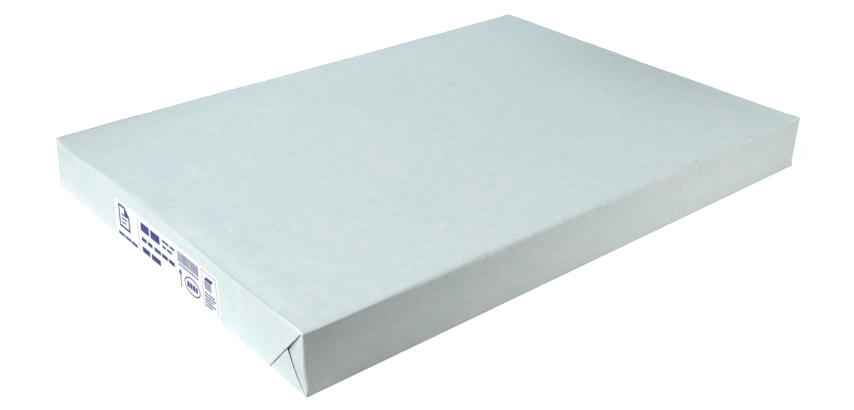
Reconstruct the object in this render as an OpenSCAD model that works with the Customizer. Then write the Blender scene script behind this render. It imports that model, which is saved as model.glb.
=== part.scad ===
// Ream of large-format copier paper, sealed in its wrapper, with a label on one end.
// The pack lies flat on z = 0 with its middle over the origin. The sheets' long side
// runs along X, and the labelled end faces -X. Sizes are in millimetres.

/* [Paper] */
// Length of a sheet, along X
sheet_length = 450; // [300:1:640]
// Width of a sheet, along Y
sheet_width = 320; // [210:1:450]
// Number of sheets in the stack
sheet_count = 250; // [200:10:500]
// Thickness of one sheet
sheet_thickness = 0.163; // [0.14:0.001:0.25]

/* [Wrapper] */
// Thickness of the wrapping paper
wrap_thickness = 0.12; // [0.08:0.01:0.25]
// Slack of the wrapper along each long side of the stack
side_slack = 0.4; // [0:0.1:1.5]
// Bend radius of the two long upper edges
shoulder_radius = 2.5; // [1:0.1:5]
// Bend radius of the edges round the underside
foot_radius = 0.8; // [0.5:0.1:1.2]
// Bend radius of the short upper edges, where the outer flaps fold down
flap_bend_radius = 1.4; // [0.5:0.1:3]
// Bend radius of the four upright corners
corner_radius = 1.6; // [1:0.1:4]
// Distance of the lap seam's cut edge from the middle of the underside
seam_offset = 14; // [0:1:60]

/* [End folds] */
// Slant of the outer flap's mitred edges, from the horizontal
outer_mitre = 47; // [40:0.5:60]
// Slant of the inner flap's mitred edges, from the horizontal
inner_mitre = 56; // [40:0.5:65]
// How far the outer flap stands proud of the inner flap
flap_lift = 0.4; // [0.2:0.1:0.8]
// How far the side tuck sinks under the outer flap where the three folds meet
tuck_depth = 1.1; // [1:0.1:3]
// Height of the outer flap's cut edge above the underside
flap_rise = 0.6; // [0.3:0.1:3]

/* [Label] */
// Length of the label, along Y
label_length = 137; // [80:1:180]
// Height of the label
label_height = 30; // [20:0.5:31]
// Bare height left under the label
label_rise = 1.4; // [1.4:0.1:6]
// Distance of the label's middle from the middle of the end
label_shift = -3.5; // [-10:0.5:10]
// Slant at which the label was stuck on
label_slant = 0.5; // [-0.5:0.1:0.5]
// Corner radius of the label
label_corner_radius = 2.5; // [0.5:0.1:5]
// Thickness of the label
label_thickness = 0.1; // [0.06:0.01:0.2]

/* [Hidden] */
$fn = 48;

WRAP_COLOUR = [0.80, 0.875, 0.865];
LABEL_COLOUR = [0.97, 0.97, 0.98];

// The stack with the wrapper round it. The folded layers at each end stand out past
// the sheets as far as the side tuck sinks under the outer flap.
stack_height = sheet_count * sheet_thickness;
pack_length = sheet_length + 2 * (tuck_depth + wrap_thickness);
pack_width = sheet_width + 2 * (side_slack + wrap_thickness);
pack_height = stack_height + 2 * wrap_thickness;
// Length of the pack between the inner flaps at its two ends
inner_length = pack_length - 2 * flap_lift;

// How far a cutting shape runs past the surface that it opens
overcut = 1;

// Where the fold lines at a corner of an end meet, in from the side
meet_in = pack_height / (tan(outer_mitre) + tan(inner_mitre));
// Where the outer flap's mitred edge would reach the underside, in from the side
mitre_foot = pack_height / tan(outer_mitre);

// A wall section that stands on y = 0, with round shoulders and a round foot
module rounded_section(width, height, shoulder, foot) {
    translate([-width / 2, foot])
        square([width, height - foot - shoulder]);
    translate([-width / 2 + foot, 0])
        square([width - 2 * foot, height / 2]);
    translate([-width / 2 + shoulder, height / 2])
        square([width - 2 * shoulder, height / 2]);
    for (side = [-1, 1]) {
        translate([side * (width / 2 - foot), foot])
            circle(foot);
        translate([side * (width / 2 - shoulder), height - shoulder])
            circle(shoulder);
    }
}

// Rectangle about the origin with round corners
module rounded_rectangle(length, width, radius) {
    square([length - 2 * radius, width], center = true);
    square([length, width - 2 * radius], center = true);
    for (x = [-1, 1], y = [-1, 1])
        translate([x * (length / 2 - radius), y * (width / 2 - radius)])
            circle(radius);
}

// The wrapper's section across the pack. On the underside the outer edge of the sheet
// overlaps the inner one, which lies one thickness of paper higher.
module tube_section() {
    difference() {
        rounded_section(pack_width, pack_height, shoulder_radius, foot_radius);
        translate([seam_offset, -overcut])
            square([pack_width, overcut + wrap_thickness]);
    }
}

// A closed block of the pack's width and height, with all its edges bent round
module closed_block(length) {
    intersection() {
        rotate([90, 0, 90])
            translate([0, 0, -length / 2])
                linear_extrude(length)
                    tube_section();
        rotate([90, 0, 0])
            translate([0, 0, -pack_width / 2])
                linear_extrude(pack_width)
                    rounded_section(length, pack_height, flap_bend_radius, foot_radius);
        linear_extrude(pack_height)
            rounded_rectangle(length, pack_width, corner_radius);
    }
}

// Extrudes an outline drawn on the -X end, seen as [distance in from the -Y side,
// height], from in front of the end face to a depth behind it
module into_end(depth) {
    translate([-pack_length / 2 - overcut, -pack_width / 2, 0])
        rotate([90, 0, 90])
            linear_extrude(overcut + depth)
                children();
}

// The outer flap: it folds down from the top, over the inner flap, with mitred sides
module outer_flap() {
    rise_in = mitre_foot * (1 - flap_rise / pack_height);
    intersection() {
        closed_block(pack_length);
        into_end(2 * tuck_depth)
            polygon([
                [0, pack_height], [rise_in, flap_rise],
                [pack_width - rise_in, flap_rise], [pack_width, pack_height]
            ]);
    }
}

// The side tuck: it turns in round the upright corner and slopes down under both flaps.
// The well runs on under the outer flap, whose own edge bounds what shows of it.
module tuck_well() {
    run_in = meet_in + overcut;
    tuck_slope = (tuck_depth - flap_lift) / meet_in;
    intersection() {
        into_end(2 * tuck_depth)
            polygon([
                [-overcut, pack_height + overcut], [-overcut, -overcut * tan(inner_mitre)],
                [run_in, run_in * tan(inner_mitre)], [run_in, pack_height + overcut]
            ]);
        translate([-pack_length / 2, -pack_width / 2, -overcut])
            linear_extrude(pack_height + 2 * overcut)
                polygon([
                    [-overcut, -overcut], [flap_lift - tuck_slope * overcut, -overcut],
                    [tuck_depth + tuck_slope * overcut, run_in], [-overcut, run_in]
                ]);
    }
}

// The inner flap folds up from the underside and is the end of the inner block
module wrapped_ream() {
    color(WRAP_COLOUR) {
        difference() {
            closed_block(inner_length);
            for (end = [0, 1], side = [0, 1])
                mirror([end, 0, 0])
                    mirror([0, side, 0])
                        tuck_well();
        }
        for (end = [0, 1])
            mirror([end, 0, 0])
                outer_flap();
    }
}

// The label lies flat on the outer flap of the -X end
module label() {
    color(LABEL_COLOUR)
        translate([-pack_length / 2, label_shift, label_rise + label_height / 2])
            rotate([90, 0, -90])
                rotate([0, 0, label_slant])
                    linear_extrude(label_thickness)
                        rounded_rectangle(label_length, label_height, label_corner_radius);
}

wrapped_ream();
label();
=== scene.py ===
import math
from collections import namedtuple

import bmesh
import bpy
import numpy as np
from bpy.props import FloatProperty, FloatVectorProperty, PointerProperty
from bpy.types import Operator, Panel, PropertyGroup
from mathutils import Matrix, Vector


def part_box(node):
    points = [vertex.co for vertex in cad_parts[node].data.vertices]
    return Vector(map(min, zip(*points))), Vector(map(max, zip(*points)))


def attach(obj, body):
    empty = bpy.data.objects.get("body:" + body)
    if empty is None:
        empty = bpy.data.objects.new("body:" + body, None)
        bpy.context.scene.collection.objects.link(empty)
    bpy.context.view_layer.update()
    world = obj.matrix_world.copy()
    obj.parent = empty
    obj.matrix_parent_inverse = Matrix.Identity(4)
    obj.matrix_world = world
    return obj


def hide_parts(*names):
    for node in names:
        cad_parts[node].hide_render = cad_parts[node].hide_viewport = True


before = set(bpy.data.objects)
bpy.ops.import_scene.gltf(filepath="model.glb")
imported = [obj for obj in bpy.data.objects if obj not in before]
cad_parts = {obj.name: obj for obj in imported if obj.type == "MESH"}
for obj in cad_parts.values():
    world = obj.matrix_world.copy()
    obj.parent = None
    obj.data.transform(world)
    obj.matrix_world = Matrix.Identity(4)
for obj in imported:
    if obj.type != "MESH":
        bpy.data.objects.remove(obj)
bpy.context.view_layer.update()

bl_info = {
    "name": "Sealed ream of large paper",
    "version": (1, 0, 0),
    "blender": (4, 5, 0),
    "location": "3D View > Sidebar > Ream",
    "description": "Dresses the packed ream with its folded wrapper, its label and a plain studio",
    "category": "Object",
}

MM = 0.001
HALF_LENGTH, HALF_WIDTH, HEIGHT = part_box("wrapped_ream")[1]
LABEL_LOW, LABEL_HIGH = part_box("label")
LABEL_MIDDLE = (LABEL_LOW + LABEL_HIGH) / 2

# Points nearer than this are one point
WELD = 1e-6
# Faces that meet at more than this angle have a hard edge between them
HARD_EDGE = math.radians(38)
# Faces of the foot that meet at less than this angle are joined
FLAT_ANGLE = math.radians(0.05)
# Seeds of the two short ends' puffs: the labelled end's and the far end's
NEAR_SEED, FAR_SEED = 50, 60
# The part of its range that a noise texture mostly covers
NOISE_RANGE = (0.3, 0.7)
WHITE = (1.0, 1.0, 1.0, 1.0)

# The tables below are (place, value) pairs. Places are millimetres, those of an end
# from its own back corner and those of a long side from the labelled end.
# Bend radius of the labelled end's upper edge, in millimetres
END_BENDS = ((0, 1.0), (9, 0.5), (16, 0.4), (40, 0.35), (60, 0.35), (285, 0.35), (300, 0.6), (311, 0.9))
# The same for the far end, whose own back corner lies at the front
FAR_BENDS = ((0, 1.0), (14, 3.0), (120, 3.4), (230, 2.0), (290, 0.8), (321, 0.8))
# How far in the upper side starts to slope down to the labelled end, in millimetres
END_SLOPES = ((0, 0.0), (8, 0.0), (18, 1.8), (40, 0.4), (60, 0.6), (90, 2.3), (134, 5.0), (172, 3.6),
              (212, 1.4), (250, 1.0), (285, 1.2), (302, 2.0), (316, 0.0))
# How far the labelled end's upper edge stands out past its straight line, in millimetres
END_LINE = ((0, 0.2), (26, 1.5), (44, 1.6), (66, 0.5), (86, 0.0), (190, 0.0), (252, 1.0), (280, 0.9),
            (321, 0.0))
# Painted shade along that edge: how much darker the paper is drawn there
CROWN_SHADES = ((0, 0.0), (12, 0.13), (46, 0.13), (80, 0.04), (225, 0.04), (250, 0.10), (285, 0.08),
               (306, 0.02))
# Bend radius of the two long upper edges, in millimetres
SHOULDER_BENDS = ((0, 1.0), (50, 0.9), (80, 2.6), (300, 2.8), (440, 2.4), (452, 1.0))
# Painted shade along them: how much darker the paper is drawn there
SHOULDER_SHADES = ((0, 0.12), (30, 0.10), (60, 0.11), (100, 0.06), (140, 0.08), (180, 0.05), (280, 0.06),
                  (330, 0.11), (380, 0.08), (420, 0.04), (440, 0.02), (452, 0.0))
# Small dents across the long upper edges: millimetres from the labelled end, how far they
# run along the edge for each millimetre in from it, and depth in millimetres
SHOULDER_DENTS = ((95, 0.5, 0.30), (129, -0.4, 0.34), (145, 0.7, 0.26), (196, 0.3, 0.40), (234, -0.6, 0.36),
                  (328, 0.4, 0.34), (390, -0.3, 0.24))
# How much farther on the dents of the back edge lie, in millimetres
BACK_SHIFT = 31
# Painted light before a dent and painted shade after it: how much paler and darker the paper is drawn, for
# each metre of depth
TICK_LIGHT, TICK_SHADE = 300, 420
# Wear with painted highlight, and painted shadow, round a folded edge, from its face to its back
FOLD_WEAR_AND_HIGHLIGHT = (0.5, 0.7, 0.7, 0.4, 0, 0, 0)
INNER_SHADOW = (0, 0, 0, 0, 0.3, 0.8, 1)
OUTER_SHADOW = (0, 0, 0, 0, 0.1, 0.4, 0.6)
# Wear and painted highlight in the row beside a fold
FOLD_SIDE_WEAR_AND_HIGHLIGHT = 0.3
# Soft stains in the pulp of the upper side: x, y and radius in millimetres
BLUE_STAINS = ((-196, 55, 22), (-197, -15, 18), (-200, -62, 20), (-204, -112, 14), (-205, -146, 10))
PINK_STAINS = ((-168, 80, 20), (-140, 30, 26), (-70, -20, 30), (-120, -100, 22))
# Dark specks in the pulp, in the same way
SPECKS = ((-170, 123.5, 1.1), (-143, -49.5, 1.1))

# Smooth relief: its height, how far apart its hills are in millimetres, and its seed.
# The height is a share of what the relief changes, except that the puffs, the ripples
# and the wander of the ends are millimetres
Noise = namedtuple("Noise", "height size seed")
END_FLUTTER, SIDE_FLUTTER = Noise(0.16, 17, 5), Noise(0.18, 24, 6)
END_PUFFS, END_RIPPLES, END_WANDER = Noise(0.16, 34, 11), Noise(0.05, 11, 13), Noise(0.16, 13, 21)
TOP_WAVES, TOP_RIPPLES = Noise(1.0, 95, 31), Noise(0.35, 27, 32)
SIDE_WAVES, SIDE_RIPPLES = Noise(0.8, 60, 41), Noise(0.5, 18, 43)
CREASE_WANDER, CREASE_PATCHES, WEAR_AND_HIGHLIGHT_PATCHES = Noise(0.18, 40, 33), Noise(0.35, 15, 34), Noise(0.25, 9, 51)

# A printed row of marks, in millimetres from the label's middle
Row = namedtuple("Row", "left foot length height count narrowest widest gap seed")
SIGN_ROW = Row(-65.5, -11.6, 27, 2.3, 3, 6, 10, 1.1, 3)
WORD_ROWS = (
    Row(-31, 5.2, 26, 6.2, 2, 9, 14, 1.7, 8),
    Row(-1.5, 9.4, 16.5, 1.8, 2, 5, 8, 1.2, 12),
    Row(-1.5, 5.4, 12.5, 1.8, 2, 4, 7, 1.2, 15),
    Row(-31, -2.2, 15, 2.9, 2, 5, 8, 1.4, 18),
    Row(-13.5, -2.2, 27, 2.9, 3, 6, 10, 1.4, 20),
    Row(-31, -10.6, 25, 4.2, 2, 8, 13, 1.7, 24),
)
STRIPES = Row(18.5, 5.0, 26, 7.4, 30, 0.3, 0.85, 0.40, 31)
FIGURES = Row(19.5, 2.4, 24, 1.6, 12, 0.9, 1.5, 0.5, 34)
OVAL_ROW = Row(28.4, -8.5, 13.2, 4.2, 4, 2.5, 3.1, 0.6, 37)
PILE_ROWS = tuple(Row(50.8, -2.6 - 2.2 * i, length, 1.3, 5, 1.2, 2.6, 0.5, 40 + i)
                  for i, length in enumerate((11.6, 12.4, 9.6, 12.0, 7.4)))


def a_length(name, description, millimetres):
    """A length that the user can change"""
    return FloatProperty(name=name, description=description, default=millimetres * MM, unit="LENGTH")


def an_angle(name, description, degrees):
    """An angle that the user can change"""
    return FloatProperty(name=name, description=description, default=math.radians(degrees), unit="ROTATION")


def a_number(name, description, value):
    """A plain number that the user can change"""
    return FloatProperty(name=name, description=description, default=value)


def a_colour(name, description, *channels):
    """A colour that the user can change"""
    return FloatVectorProperty(name=name, description=description, subtype="COLOR", size=len(channels),
                               default=channels)


class WrapperSizes(PropertyGroup):
    """Sizes of the wrapping paper's bends, folds and creases"""

    outer_mitre: an_angle("Outer mitre", "Slant of the outer flap's folded edges", 49.8)
    outer_start: a_length("Outer start", "How much higher than a line from the corner they lie", 2.36)
    inner_mitre: an_angle("Inner mitre", "Mean slant of the inner flap's folded edges", 52.9)
    inner_bow: a_number("Inner bow", "How fast the inner flap's edges steepen, for each metre in", 27.2)
    flap_lift: a_length("Flap lift", "How far the outer flap stands proud of the inner one", 0.4)
    flap_rise: a_length("Flap rise", "Height of the outer flap's cut edge above the floor", 0.6)
    flap_spring: a_length("Flap spring", "How far the flaps spring out along their folded edges", 0.35)
    tuck_sink: a_length("Tuck sink", "How far the side tuck sinks behind the flaps", 0.15)
    pocket_depth: a_length("Pocket depth", "How much deeper the tuck lies where the three folds meet", 0.6)
    pocket_reach: a_length("Pocket reach", "Radius of the hollow where the three folds meet", 6.5)
    fold_roll: a_length("Fold roll", "Radius of a folded edge", 0.17)
    cut_roll: a_length("Cut roll", "Half the thickness of a cut edge", 0.07)
    undercut: a_length("Undercut", "How deep the gap under a folded edge is open", 1.0)
    foot_bend: a_length("Foot bend", "Bend radius round the underside", 0.4)
    foot_flare: a_length("Foot flare", "How far the labelled end's foot stands out past its top", 1.1)
    end_slope: a_number("End slope", "How steeply the upper side meets the labelled end", 0.25)
    crown_lean: a_length("Crown lean", "How far the labelled end's back corner leans in at its top", 3.0)
    foot_lean: a_length("Foot lean", "How far the same corner stands out at its foot", 3.0)
    pinch_out: a_length("Pinch out", "How far the labelled end's front corner is pinched out past it", 0.75)
    pinch_in: a_length("Pinch in", "How far the same corner is drawn in from the long side", 1.0)
    crown_bend: a_length("Crown bend", "Bend radius of the upper edges beside a corner", 1.0)
    upright_bend: a_length("Upright bend", "Bend radius of the upright corners at mid height", 1.8)
    seam_offset: a_length("Seam offset", "Place of the lap seam on the underside", 14)
    seam_step: a_length("Seam step", "Thickness of the paper at the lap seam", 0.12)
    wave: a_length("Wave", "Height of the slow waves in the paper", 0.14)
    crease_inset: a_length("Crease inset", "Distance of the upper crease from the labelled end", 2.1)
    crease_depth: a_length("Crease depth", "Depth of the upper crease", 0.10)
    # Reach of the wear and painted highlight from an edge
    wear_and_highlight_reach: a_length("Rub reach", "How far the wear reaches from an edge", 1.3)


class PaperFinish(PropertyGroup):
    """Colours of the papers and inks"""

    pulp: a_colour("Wrapper", "Colour of the wrapping paper", 0.673, 0.745, 0.721, 1.0)
    teal: a_colour("Teal cloud", "Greener pulp in the wrapping paper", 0.588, 0.715, 0.685, 1.0)
    rose: a_colour("Rose cloud", "Pinker pulp in the wrapping paper", 0.725, 0.735, 0.724, 1.0)
    blue: a_colour("Blue stain", "Bluer pulp in the wrapping paper", 0.585, 0.690, 0.770, 1.0)
    # Colour of the painted shade deep under a fold and on the tuck
    deep: a_colour("Gap", "Colour deep under a fold", 0.020, 0.260, 0.350, 1.0)
    # Colour of the wear and painted highlight along the folds and edges
    rubbed_and_lit: a_colour("Rubbed edge", "Colour of a rubbed fold", 0.80, 0.86, 0.84, 1.0)
    label_white: a_colour("Label", "Colour of the label paper", 0.85, 0.85, 0.855, 1.0)
    navy: a_colour("Navy ink", "Colour of the main print", 0.018, 0.025, 0.18, 1.0)
    grey: a_colour("Grey ink", "Colour of the frames and rules", 0.20, 0.21, 0.25, 1.0)
    thin_ink: a_colour("Thin ink", "Colour of the print where the ink is starved", 0.45, 0.47, 0.62, 1.0)


class LabelSizes(PropertyGroup):
    """Sizes of the label and its print"""

    length: a_length("Length", "Length of the label", 137)
    height: a_length("Height", "Height of the label", 30)
    corner: a_length("Corner", "Corner radius of the label", 2.5)
    slant: an_angle("Slant", "Slant at which the label was stuck on", 0.5)
    thickness: a_length("Thickness", "Thickness of the label", 0.1)
    ink_thickness: a_length("Ink", "How far the print stands proud of the label", 0.015)
    follow_step: a_length("Follow step", "Size of the facets that follow the flap under them", 3)


class StudioSetup(PropertyGroup):
    """Camera, lamps and floor"""

    lens: a_number("Lens", "Focal length in millimetres", 45.214)
    camera_place: FloatVectorProperty(
        name="Camera", description="Place of the camera", subtype="TRANSLATION", unit="LENGTH",
        default=(-0.472842, -0.553542, 0.362876))
    azimuth: an_angle("Azimuth", "Direction of the camera round the pack", -39.976)
    elevation: an_angle("Elevation", "Angle of the camera above the horizon", 28.053)
    roll: an_angle("Roll", "Turn of the camera about its own axis", 0.427)
    window_power: a_number("Window", "Power of the big soft lamp", 85.0)
    window_colour: a_colour("Window colour", "Colour of the big soft lamp", 1.0, 1.0, 1.0)
    back_power: a_number("Back lamp", "Power of the lamp behind", 10.5)
    back_colour: a_colour("Back colour", "Colour of the lamp behind", 0.71, 0.86, 1.0)
    low_power: a_number("Low lamp", "Power of the low lamp", 1.39)
    low_colour: a_colour("Low colour", "Colour of the low lamp", 1.0, 0.985, 0.965)
    sky: a_number("Sky", "Strength of the light from all round", 0.01)
    sky_colour: a_colour("Sky colour", "Colour of the light from all round", 1.0, 1.0, 1.0)
    floor_half: a_length("Floor", "Half the width of the floor", 4000)
    floor_colour: a_colour("Floor colour", "Colour of the floor", 0.45, 0.445, 0.475, 1.0)
    floor_seen: a_colour("Floor seen", "Colour of the floor to the camera", 0.3, 0.3, 0.3, 1.0)
    floor_glow: a_number("Floor glow", "Light of the floor to the camera", 0.90)


def ease(low, high, value):
    """Goes smoothly from 0 at low to 1 at high, and falls where low lies past high"""
    share = np.clip((value - low) / (high - low), 0, 1)
    return share * share * (3 - 2 * share)


def ramp(value, low, high):
    """The same for a length, from one place in millimetres to another"""
    return ease(low * MM, high * MM, value)


def bell(value, width):
    """1 where a length is 0, dying away over a width in millimetres"""
    return np.exp(-((value / (width * MM)) ** 2))


def blend(first, second, share):
    """Mixes two values or arrays"""
    return first + (second - first) * share


def eased_through(table, place):
    """Value of a table at a place in metres, eased from each of its pairs to the next"""
    value = np.full_like(place, table[0][1])
    for (start, _), (stop, level) in zip(table, table[1:]):
        value = blend(value, level, ramp(place, start, stop))
    return value


def relief(along, across, noise, variant=0):
    """A noise's value at places on the paper, from minus its height to its height"""
    cells = 64
    table = np.random.default_rng(noise.seed + variant).uniform(-1, 1, (cells, cells))
    column, row = along / (noise.size * MM), across / (noise.size * MM)
    left, low = np.floor(column).astype(int), np.floor(row).astype(int)
    over, up = ease(0, 1, column - left), ease(0, 1, row - low)
    corners = [table[(left + i) % cells, (low + j) % cells] for i in (0, 1) for j in (0, 1)]
    level = blend(blend(corners[0], corners[1], up), blend(corners[2], corners[3], up), over)
    return noise.height * level


def graded(*stages):
    """Distances from 0. Each stage is how far it reaches and its largest step, in millimetres"""
    growth = 1.3
    marks, step = [0.0], stages[0][1]
    for reach, largest in stages:
        while marks[-1] < reach - largest / 2:
            marks.append(marks[-1] + step)
            step = min(step * growth, largest)
    return np.array(marks) * (stages[-1][0] / marks[-1]) * MM


def there_and_back(half, whole):
    """Distances over a whole length, from those over its first half"""
    return np.concatenate([half, (whole - half[::-1])[1:]])


def rolled(radius):
    """Points round a folded edge: how far each lies from its tip, and how far behind its face"""
    turns = [math.pi * step / (len(FOLD_WEAR_AND_HIGHLIGHT) - 1) for step in range(len(FOLD_WEAR_AND_HIGHLIGHT))]
    return [(radius * (1 - math.sin(turn)), radius * (1 - math.cos(turn))) for turn in turns]


def insets(x, y, z):
    """Distances in from the nearest end, in from the nearest long side and down from the top"""
    return HALF_LENGTH - np.abs(x), HALF_WIDTH - np.abs(y), HEIGHT - z


class Wrap:
    """Works out where the wrapping paper lies, from its sizes"""

    # How far the flare, the lean, the bulge, the slope's end and the draw reach, in
    # millimetres, as ramp takes them
    flare_reach = 60
    lean_reach = 120
    bulge_reach = 34
    slope_fade = 6
    draw_reach = 12
    # How fast the outer flap's edge leaves the corner
    start_reach = 3.2 * MM
    # How far from a fold the even rows of a flap start, and the row of wear and painted highlight beside it
    surface_reach = 0.9 * MM
    wear_and_highlight_band = 0.5 * MM
    # Over what height a row that would pass behind the outer flap closes up
    collapse = 0.8 * MM
    # Most that the inner flap's rows are stretched by the slant of its edge
    steepest = 2.2
    # How far the waves sink the upper side and the long sides, as a share of their height
    top_sink = 0.9
    side_sink = 0.8

    def __init__(self, sizes):
        self.sizes = sizes
        self.outer_run = math.tan(sizes.outer_mitre)
        self.inner_run = math.tan(sizes.inner_mitre)
        self.meet = (HEIGHT + sizes.outer_start) / (self.outer_run + self.inner_run)
        self.foot = (HEIGHT + sizes.outer_start) / self.outer_run

    def end_bend(self, x, y):
        """Bend radius of the short upper edges"""
        from_back = HALF_WIDTH - y * np.where(x < 0, 1, -1)
        radius = np.where(x < 0, eased_through(END_BENDS, from_back), eased_through(FAR_BENDS, from_back))
        flutter = 1 + relief(y, np.sign(x), END_FLUTTER)
        return blend(self.sizes.crown_bend, radius * flutter * MM, ramp(HALF_WIDTH - np.abs(y), 3, 13))

    def side_bend(self, x, y):
        """Bend radius of the long upper edges"""
        radius = eased_through(SHOULDER_BENDS, x + HALF_LENGTH)
        flutter = 1 + relief(x, np.sign(y), SIDE_FLUTTER)
        return blend(self.sizes.crown_bend, radius * flutter * MM, ramp(HALF_LENGTH - np.abs(x), 6, 13))

    def bend_radius(self, x, y, z):
        """Bend radius that holds near a point of the square-edged pack"""
        from_end, from_side, drop = insets(x, y, z)
        crown = np.where(from_end < from_side, self.end_bend(x, y), self.side_bend(x, y))
        crown_share, foot_share = ramp(drop, 9, 4), ramp(z, 6, 1.5)
        upright = self.sizes.upright_bend * (1.35 - 0.7 * z / HEIGHT)
        upright *= np.where((x < 0) & (y > 0), 0.55, 1.0) * (1 - crown_share - foot_share)
        return upright + crown * crown_share + self.sizes.foot_bend * foot_share

    def round_over(self, x, y, z):
        """Moves points of the square-edged pack onto its bent edges"""
        radius = self.bend_radius(x, y, z)
        core_x = np.clip(x, radius - HALF_LENGTH, HALF_LENGTH - radius)
        core_y = np.clip(y, radius - HALF_WIDTH, HALF_WIDTH - radius)
        core_z = np.clip(z, radius, HEIGHT - radius)
        core = np.stack([core_x, core_y, core_z], -1)
        out = np.stack([x, y, z], -1) - core
        return core + out / np.linalg.norm(out, axis=-1, keepdims=True) * radius[..., None]

    def corner_level(self, z):
        """How far the upright corner lies behind the outer flap's face"""
        return self.sizes.flap_lift * ramp(HEIGHT - z, 0.5, 4)

    def flap_relief(self, y, z, seed):
        """Puffs and marks in a short end's flap, as depth behind its flat face"""
        inset = HALF_WIDTH - np.abs(y)
        fade = ramp(inset, 1, 9) * ramp(HEIGHT - z, 0, 5) * ramp(z, 0, 4)
        puff = relief(y, z, END_PUFFS, seed) + relief(y, z, END_RIPPLES, seed)
        sag = 0.10 * np.sin(math.pi * np.clip(z / HEIGHT, 0, 1))
        # The side tuck under the flap lifts it, and its own slanting edge shows through
        lifted = 0.10 * ramp(inset, 35, 33)
        past_edge = z - 29.7 * MM + 0.41 * (inset - 4.6 * MM)
        edge = 0.05 * ramp(past_edge, -2, 2) * ramp(inset, 38, 30)
        return (puff + sag - lifted + edge) * MM * fade

    def flap_edge(self, inset):
        """The outer flap's edge at a distance in: its height, its slant and how flat it runs"""
        start = np.exp(-inset / self.start_reach)
        slant = HEIGHT - inset * self.outer_run + self.sizes.outer_start * (1 - start)
        steep = self.outer_run - self.sizes.outer_start / self.start_reach * start
        level = self.sizes.flap_rise
        edge = 0.5 * (slant + level + np.sqrt((slant - level) ** 2 + (0.5 * MM) ** 2))
        flat = ramp(inset - self.foot, -2, 1)
        return np.minimum(edge, HEIGHT), blend(np.hypot(1, steep), 1.0, flat), flat

    def flap_front(self, y, z, seed):
        """Depth of the outer flap's face behind the pack's flat end"""
        inset = HALF_WIDTH - np.abs(y)
        edge, stretch, flat = self.flap_edge(inset)
        away = np.maximum(z - edge, 0) / stretch
        spring = -self.sizes.flap_spring * bell(away, 4.5) * ramp(inset, 2, 10) * ramp(inset, 39, 27)
        press = 0.16 * MM * flat * bell(away, 4)
        return self.flap_relief(y, z, seed) + (spring + press) * ramp(HEIGHT - z, 0, 4)

    def finish(self, x, y, z, placed):
        """Adds what runs across faces: the edges' wander, the corners' lean and the dents"""
        sizes = self.sizes
        from_end, from_side, drop = insets(x, y, z)
        from_back, near = HALF_WIDTH - y, x < 0
        wander = relief(y, np.sign(x), END_WANDER) * MM
        wander *= bell(from_end + drop, 3.5) * ramp(from_side, 5, 14)
        placed[..., 0] += wander * np.sign(x)
        placed[..., 2] += wander
        placed[..., 0] -= sizes.foot_flare * drop / HEIGHT * ramp(from_end, self.flare_reach, 0) * near
        slope_reach = (eased_through(END_SLOPES, from_back) + 0.01) * MM
        fall = np.maximum(slope_reach - from_end, 0) ** 2 / (2 * slope_reach) * sizes.end_slope
        placed[..., 2] -= fall * ramp(drop, self.slope_fade, 0) * near
        bulge = eased_through(END_LINE, from_back) * MM * ramp(drop, self.bulge_reach, 0)
        placed[..., 0] -= bulge * ramp(from_end, self.bulge_reach, 0) * near
        lean = blend(sizes.foot_lean, -sizes.crown_lean, z / HEIGHT)
        placed[..., 1] += lean * ramp(x + HALF_LENGTH, self.lean_reach, 0) * ease(0, HALF_WIDTH, y)
        pinch = ramp(from_end, 14, 0) * ramp(from_side, 9, 0) * (near & (y < 0))
        pinch *= ramp(z, 4, 20) * (1 - 0.35 * ramp(drop, 7, 0))
        placed[..., 0] -= sizes.pinch_out * pinch
        placed[..., 1] += sizes.pinch_in * pinch
        dent = self.dents(x, y, z, 0, 1.8)
        placed[..., 1] -= dent * np.where(y > 0, 1, -1)
        placed[..., 2] -= dent
        return placed

    def dents(self, x, y, z, aside, width):
        """The dents across the long upper edges, or bands that lie aside, in millimetres"""
        _, from_side, drop = insets(x, y, z)
        reach = bell(from_side + drop, 6)
        total = np.zeros_like(x)
        for side, start in ((-1, 0), (1, BACK_SHIFT)):
            for place, lean, depth in SHOULDER_DENTS:
                run = x + HALF_LENGTH - (place + start + aside) * MM - lean * side * (from_side - drop)
                total += depth * MM * bell(run, width) * reach * (y * side > 0)
        return total

    def ticks(self, x, y, z):
        """Painted light and shade beside the dents: paler before them, darker after them"""
        return TICK_LIGHT * self.dents(x, y, z, -0.9, 0.9) - TICK_SHADE * self.dents(x, y, z, 1.1, 1.0)

    def top_tone(self, x, y):
        """Painted light and shade over the upper side: darker to the back and to the far end"""
        from_end, from_back, from_far = x + HALF_LENGTH, HALF_WIDTH - y, HALF_LENGTH - x
        crease, presence = self.crease(x, y)
        # Painted shade along the long edges, in the crease, along the far edge, over the far end's sag and
        # toward the back
        shoulder = eased_through(SHOULDER_SHADES, from_end) * bell(HALF_WIDTH - np.abs(y) - 1 * MM, 2.2)
        far_edge = bell(from_far, 1.2) * ramp(from_back, 300, 250)
        sunk = (np.maximum(from_end - 330 * MM, 0) / (120 * MM)) ** 2 * bell(from_back - 180 * MM, 110)
        back = np.exp(-from_back / (30 * MM)) * ramp(from_end, 200, 50)
        grey = shoulder + 0.15 * crease * presence + 0.10 * far_edge + 0.20 * sunk + 0.13 * back
        grey += 0.045 * bell(np.hypot(from_end, from_back), 60) + 0.035 * y / HALF_WIDTH
        # Painted light at the far corner and beside the label
        far_corner = ramp(from_back, 220, 250) * bell(from_far, 7)
        beside_label = ramp(from_back, 150, 200) * ramp(from_back, 308, 285) * bell(from_end - 8 * MM, 6.5)
        return 0.09 * (far_corner + beside_label) - grey - self.crown_shade(y, from_end)

    def crown_shade(self, y, away):
        """Painted shade at a distance from the labelled end's upper edge, as how much darker the paper is
        drawn
        """
        return eased_through(CROWN_SHADES, HALF_WIDTH - y) * bell(away, 0.8)

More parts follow.
